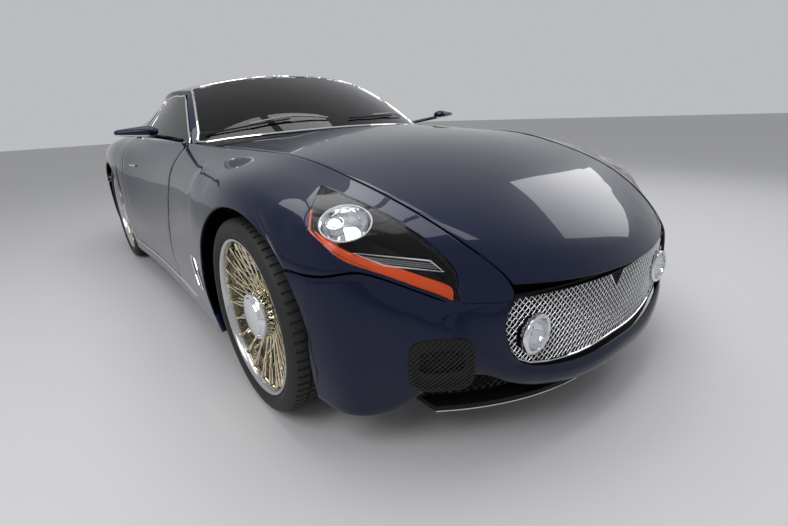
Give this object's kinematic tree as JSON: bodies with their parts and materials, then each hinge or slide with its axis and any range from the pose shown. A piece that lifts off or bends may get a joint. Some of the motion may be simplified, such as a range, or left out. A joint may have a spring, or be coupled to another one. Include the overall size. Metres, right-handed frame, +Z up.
{
  "type": "two-seat concept car",
  "caption": "Low front-engined coupe on wire wheels, with opening doors, hood and boot lid, steered front wheels and a wide mesh grille.",
  "frame": {"origin": "on the ground below the middle of the body", "axes": "+X forward to the nose, +Y to the car's left, +Z up"},
  "size_m": [4.369, 2.1468, 1.2699],
  "materials": {
    "paint": "gloss clear coat",
    "glass": "tinted, clear",
    "lens": "clear",
    "chrome": "polished",
    "black": "matte",
    "steel": "plain",
    "rubber": "matte",
    "amber": "clear gloss",
    "red": "clear gloss",
    "leather": "satin",
    "metal": "cast"
  },
  "bodies": {
    "chassis": {"floor_pan": "steel", "sills": "paint", "front_bumper": "paint", "front_fenders": "paint", "headlamp_lenses": "lens", "headlamp_buckets": "black", "headlamp_units": "chrome", "indicator_strips": "amber", "grille_frame": "chrome", "grille_mesh": "chrome", "driving_lamps": "chrome", "splitter": "black", "lower_mesh": "black", "quarter_panels": "paint", "rear_bumper": "paint", "tail_panel": "paint", "tail_lamps": "red", "exhaust": "chrome", "roof": "paint", "windscreen": "glass", "rear_window": "glass", "a_pillars": "chrome", "c_pillars": "paint", "quarter_glass": "glass", "cowl": "paint", "door_hinges": "steel", "lid_posts": "steel", "seats": "leather", "dashboard": "leather", "engine": "metal", "radiator": "black", "wheel_liners": "black", "front_suspension": "steel", "rear_axle": "steel"},
    "door_left": {"door_left": "paint", "door_glass_left": "glass", "mirror_left": "paint"},
    "door_right": {"door_right": "paint", "door_glass_right": "glass", "mirror_right": "paint"},
    "hood": {"hood": "paint", "hood_arms": "steel"},
    "boot_lid": {"boot_lid": "paint", "boot_arms": "steel"},
    "steering_wheel": {"steering_wheel": "black"},
    "knuckle_left": {"knuckle_left": "steel"},
    "knuckle_right": {"knuckle_right": "steel"},
    "wheel_front_left": {"wheel_front_left": "chrome", "tyre_front_left": "rubber", "disc_front_left": "steel"},
    "wheel_front_right": {"wheel_front_right": "chrome", "tyre_front_right": "rubber", "disc_front_right": "steel"},
    "wheel_rear_left": {"wheel_rear_left": "chrome", "tyre_rear_left": "rubber", "disc_rear_left": "steel"},
    "wheel_rear_right": {"wheel_rear_right": "chrome", "tyre_rear_right": "rubber", "disc_rear_right": "steel"}
  },
  "joints": [
    {"name": "door_left_swing", "type": "hinge", "parent": "chassis", "child": "door_left", "pos_m": [0.21003, 0.90986, 0.4], "axis": [0, 0, -1], "range_deg": [0, 65]},
    {"name": "door_right_swing", "type": "hinge", "parent": "chassis", "child": "door_right", "pos_m": [0.21003, -0.90986, 0.4], "axis": [0, 0, 1], "range_deg": [0, 65]},
    {"name": "hood_lift", "type": "hinge", "parent": "chassis", "child": "hood", "pos_m": [0.56064, 0, 0.86614], "axis": [0, -1, 0], "range_deg": [0, 50]},
    {"name": "boot_lift", "type": "hinge", "parent": "chassis", "child": "boot_lid", "pos_m": [-1.64688, 0, 0.92075], "axis": [0, 1, 0], "range_deg": [0, 60]},
    {"name": "steer_left", "type": "hinge", "parent": "chassis", "child": "knuckle_left", "pos_m": [1.31, 0.705, 0.35], "axis": [0, 0, 1], "range_deg": [-30, 30]},
    {"name": "steer_right", "type": "hinge", "parent": "chassis", "child": "knuckle_right", "pos_m": [1.31, -0.705, 0.35], "axis": [0, 0, 1], "range_deg": [-30, 30]},
    {"name": "steering_wheel_turn", "type": "hinge", "parent": "chassis", "child": "steering_wheel", "pos_m": [0.1971, 0.388, 0.74295], "axis": [-0.9135, 0, 0.4067], "range_deg": [-450, 450]},
    {"name": "wheel_front_left_spin", "type": "hinge", "parent": "knuckle_left", "child": "wheel_front_left", "pos_m": [1.31, 0.803, 0.35], "axis": [0, 1, 0], "continuous": true},
    {"name": "wheel_front_right_spin", "type": "hinge", "parent": "knuckle_right", "child": "wheel_front_right", "pos_m": [1.31, -0.803, 0.35], "axis": [0, 1, 0], "continuous": true},
    {"name": "wheel_rear_left_spin", "type": "hinge", "parent": "chassis", "child": "wheel_rear_left", "pos_m": [-1.3, 0.8, 0.353], "axis": [0, 1, 0], "continuous": true},
    {"name": "wheel_rear_right_spin", "type": "hinge", "parent": "chassis", "child": "wheel_rear_right", "pos_m": [-1.3, -0.8, 0.353], "axis": [0, 1, 0], "continuous": true}
  ],
  "couplings": [
    {"joint": "steer_right", "follows": "steer_left", "ratio": 1},
    {"joint": "steering_wheel_turn", "follows": "steer_left", "ratio": 14}
  ]
}
